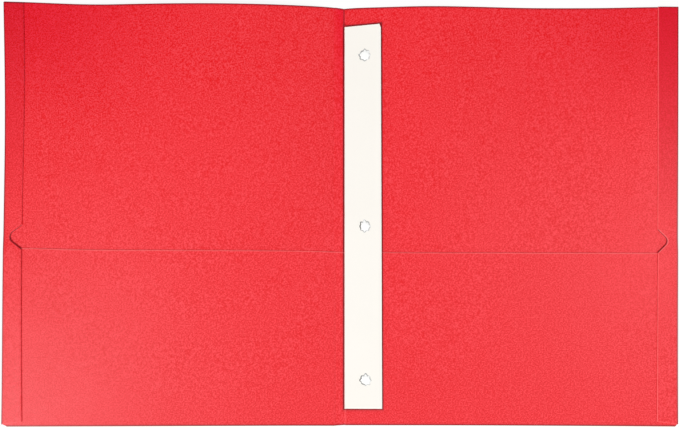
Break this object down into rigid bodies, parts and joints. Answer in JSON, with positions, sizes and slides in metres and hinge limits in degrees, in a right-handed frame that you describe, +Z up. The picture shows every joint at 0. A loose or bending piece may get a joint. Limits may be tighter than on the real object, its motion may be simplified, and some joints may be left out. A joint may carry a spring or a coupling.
{
  "type": "two pocket folder",
  "caption": "Paper folder that opens flat, with a pocket across the foot of each leaf, folded side flaps and a white card strip of pronged fasteners by the spine.",
  "frame": {"origin": "under the middle of the spine panel, on the surface that the open folder lies on", "axes": "+X from the front cover to the back cover, +Y from the pockets to the top edge, +Z up from the inside of the open folder"},
  "size_m": [0.4826, 0.2985, 0.0021],
  "materials": {
    "red_paper": "uncoated, fine embossed grain",
    "white_card": "smooth, uncoated",
    "white_eyelet": "thin white lacquer, bare at the teeth",
    "prong_steel": "plain strip steel"
  },
  "bodies": {
    "back_cover": {"back_cover": "red_paper", "back_pocket": "red_paper", "back_bottom_fold": "red_paper", "back_seam_fold": "red_paper", "back_seam_flap": "red_paper", "back_hem_fold": "red_paper", "strip_glue_flange": "white_card", "strip_fold": "white_card"},
    "spine": {"spine_panel": "red_paper", "back_score_line": "red_paper", "front_score_line": "red_paper", "spine_pocket_web": "red_paper", "spine_bottom_fold": "red_paper"},
    "front_cover": {"front_cover": "red_paper", "front_pocket": "red_paper", "front_bottom_fold": "red_paper", "front_seam_fold": "red_paper", "front_seam_flap": "red_paper", "front_hem_fold": "red_paper"},
    "back_hem_flap": {"back_hem_flap": "red_paper"},
    "front_hem_flap": {"front_hem_flap": "red_paper"},
    "fastener_strip": {"fastener_strip": "white_card", "upper_eyelet": "white_eyelet", "middle_eyelet": "white_eyelet", "lower_eyelet": "white_eyelet"},
    "upper_prong_up": {"upper_prong_up": "prong_steel"},
    "upper_prong_down": {"upper_prong_down": "prong_steel"},
    "middle_prong_up": {"middle_prong_up": "prong_steel"},
    "middle_prong_down": {"middle_prong_down": "prong_steel"},
    "lower_prong_up": {"lower_prong_up": "prong_steel"},
    "lower_prong_down": {"lower_prong_down": "prong_steel"}
  },
  "joints": [
    {"name": "back_crease", "type": "hinge", "parent": "back_cover", "child": "spine", "pos_m": [0.0029, 0, 0.0002], "axis": [0, 1, 0], "range_deg": [0, 90]},
    {"name": "front_crease", "type": "hinge", "parent": "spine", "child": "front_cover", "pos_m": [-0.0029, 0, 0.0002], "axis": [0, 1, 0], "range_deg": [0, 90]},
    {"name": "strip_flip", "type": "hinge", "parent": "back_cover", "child": "fastener_strip", "pos_m": [0.00355, 0, 0.00135], "axis": [0, 1, 0], "range_deg": [-170, 0]},
    {"name": "back_hem_lift", "type": "hinge", "parent": "back_cover", "child": "back_hem_flap", "pos_m": [0.24088, 0, 0.00042], "axis": [0, -1, 0], "range_deg": [-60, 0]},
    {"name": "front_hem_lift", "type": "hinge", "parent": "front_cover", "child": "front_hem_flap", "pos_m": [-0.24088, 0, 0.00042], "axis": [0, 1, 0], "range_deg": [-60, 0]},
    {"name": "upper_prong_up_bend", "type": "hinge", "parent": "fastener_strip", "child": "upper_prong_up", "pos_m": [0.0175, 0.119, 0.00118], "axis": [1, 0, 0], "range_deg": [-90, 0]},
    {"name": "upper_prong_down_bend", "type": "hinge", "parent": "fastener_strip", "child": "upper_prong_down", "pos_m": [0.0175, 0.1122, 0.00118], "axis": [-1, 0, 0], "range_deg": [-90, 0]},
    {"name": "middle_prong_up_bend", "type": "hinge", "parent": "fastener_strip", "child": "middle_prong_up", "pos_m": [0.0175, -0.0033, 0.00118], "axis": [1, 0, 0], "range_deg": [-90, 0]},
    {"name": "middle_prong_down_bend", "type": "hinge", "parent": "fastener_strip", "child": "middle_prong_down", "pos_m": [0.0175, -0.0101, 0.00118], "axis": [-1, 0, 0], "range_deg": [-90, 0]},
    {"name": "lower_prong_up_bend", "type": "hinge", "parent": "fastener_strip", "child": "lower_prong_up", "pos_m": [0.0175, -0.1122, 0.00118], "axis": [1, 0, 0], "range_deg": [-90, 0]},
    {"name": "lower_prong_down_bend", "type": "hinge", "parent": "fastener_strip", "child": "lower_prong_down", "pos_m": [0.0175, -0.119, 0.00118], "axis": [-1, 0, 0], "range_deg": [-90, 0]}
  ],
  "couplings": [
    {"joint": "upper_prong_up_bend", "follows": "strip_flip", "ratio": 0.529},
    {"joint": "upper_prong_down_bend", "follows": "strip_flip", "ratio": 0.529},
    {"joint": "middle_prong_up_bend", "follows": "strip_flip", "ratio": 0.529},
    {"joint": "middle_prong_down_bend", "follows": "strip_flip", "ratio": 0.529},
    {"joint": "lower_prong_up_bend", "follows": "strip_flip", "ratio": 0.529},
    {"joint": "lower_prong_down_bend", "follows": "strip_flip", "ratio": 0.529}
  ]
}
